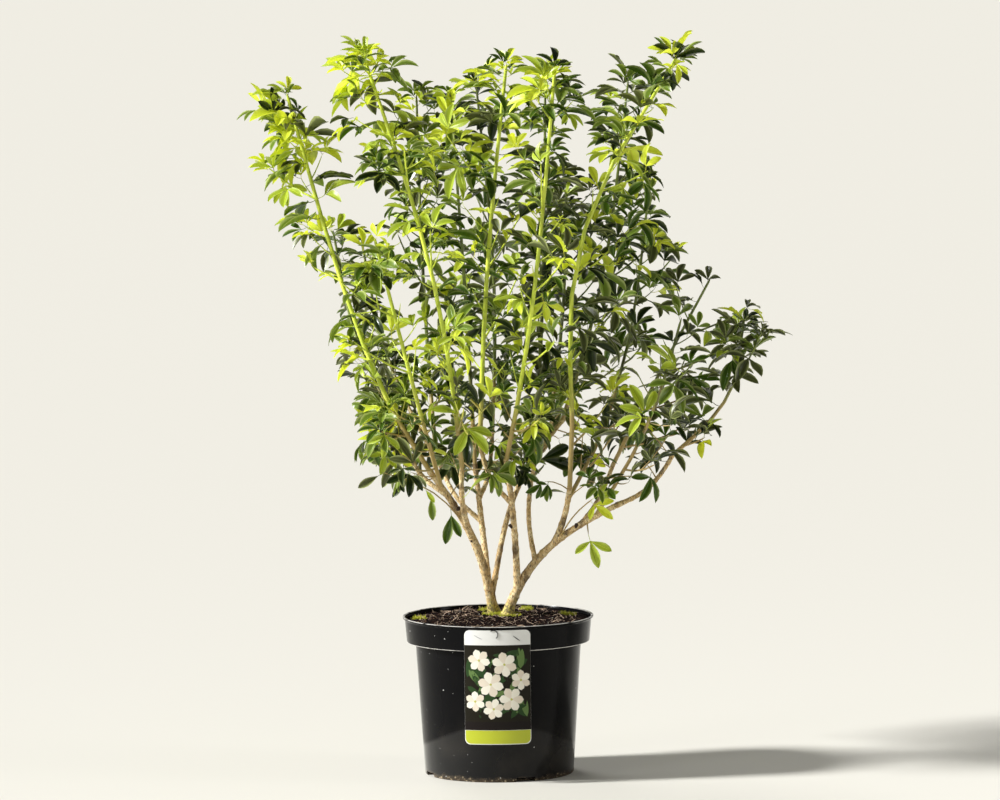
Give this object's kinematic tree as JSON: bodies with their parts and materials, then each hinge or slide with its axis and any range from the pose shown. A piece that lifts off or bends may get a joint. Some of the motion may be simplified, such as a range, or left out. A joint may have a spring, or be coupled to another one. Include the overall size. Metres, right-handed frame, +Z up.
{
  "type": "potted mexican orange blossom",
  "caption": "Many-stemmed evergreen shrub with glossy three-part leaves on woody stems, in a round black nursery pot of compost with a hanging plant label.",
  "frame": {"origin": "centre of the pot's flat underside, z = 0 where it stands", "axes": "+Z up, -Y towards the plant label (front), +X to the right seen from the front"},
  "size_m": [0.8249, 0.6795, 1.0936],
  "materials": {
    "pot_plastic": "black injection-moulded nursery pot, glossy, dusty near the foot",
    "compost": "dark fibrous bark and peat compost with moss",
    "label_plastic": null,
    "bark": "tan bark, cracked low down, turning yellow-green on young stems",
    "foliage": "glossy evergreen leaves, deep green to lime"
  },
  "bodies": {
    "root": {"pot": "pot_plastic", "soil": "compost", "plant_label": "label_plastic", "trunk_left": "bark", "trunk_right": "bark", "stem_back": "bark", "stem_middle": "bark", "stem_centre": "bark", "bough_left_front": "bark", "bough_left_back": "bark", "bough_back_left": "bark", "bough_back": "bark", "bough_centre_left": "bark", "bough_right_inner": "bark", "bough_right_middle": "bark", "bough_right_back": "bark", "bough_far_right": "bark", "bough_rear": "bark", "foliage_far_left": "foliage", "foliage_left_back": "foliage", "foliage_left_front": "foliage", "foliage_front_left": "foliage", "foliage_middle": "foliage", "foliage_rear_left": "foliage", "foliage_rear": "foliage", "foliage_centre_left": "foliage", "foliage_front": "foliage", "foliage_front_right": "foliage", "foliage_inner_right": "foliage", "foliage_middle_right": "foliage", "foliage_rear_right": "foliage", "foliage_right_back": "foliage", "foliage_right_front": "foliage", "foliage_far_right": "foliage", "foliage_back": "foliage", "foliage_back_left": "foliage"}
  },
  "joints": []
}
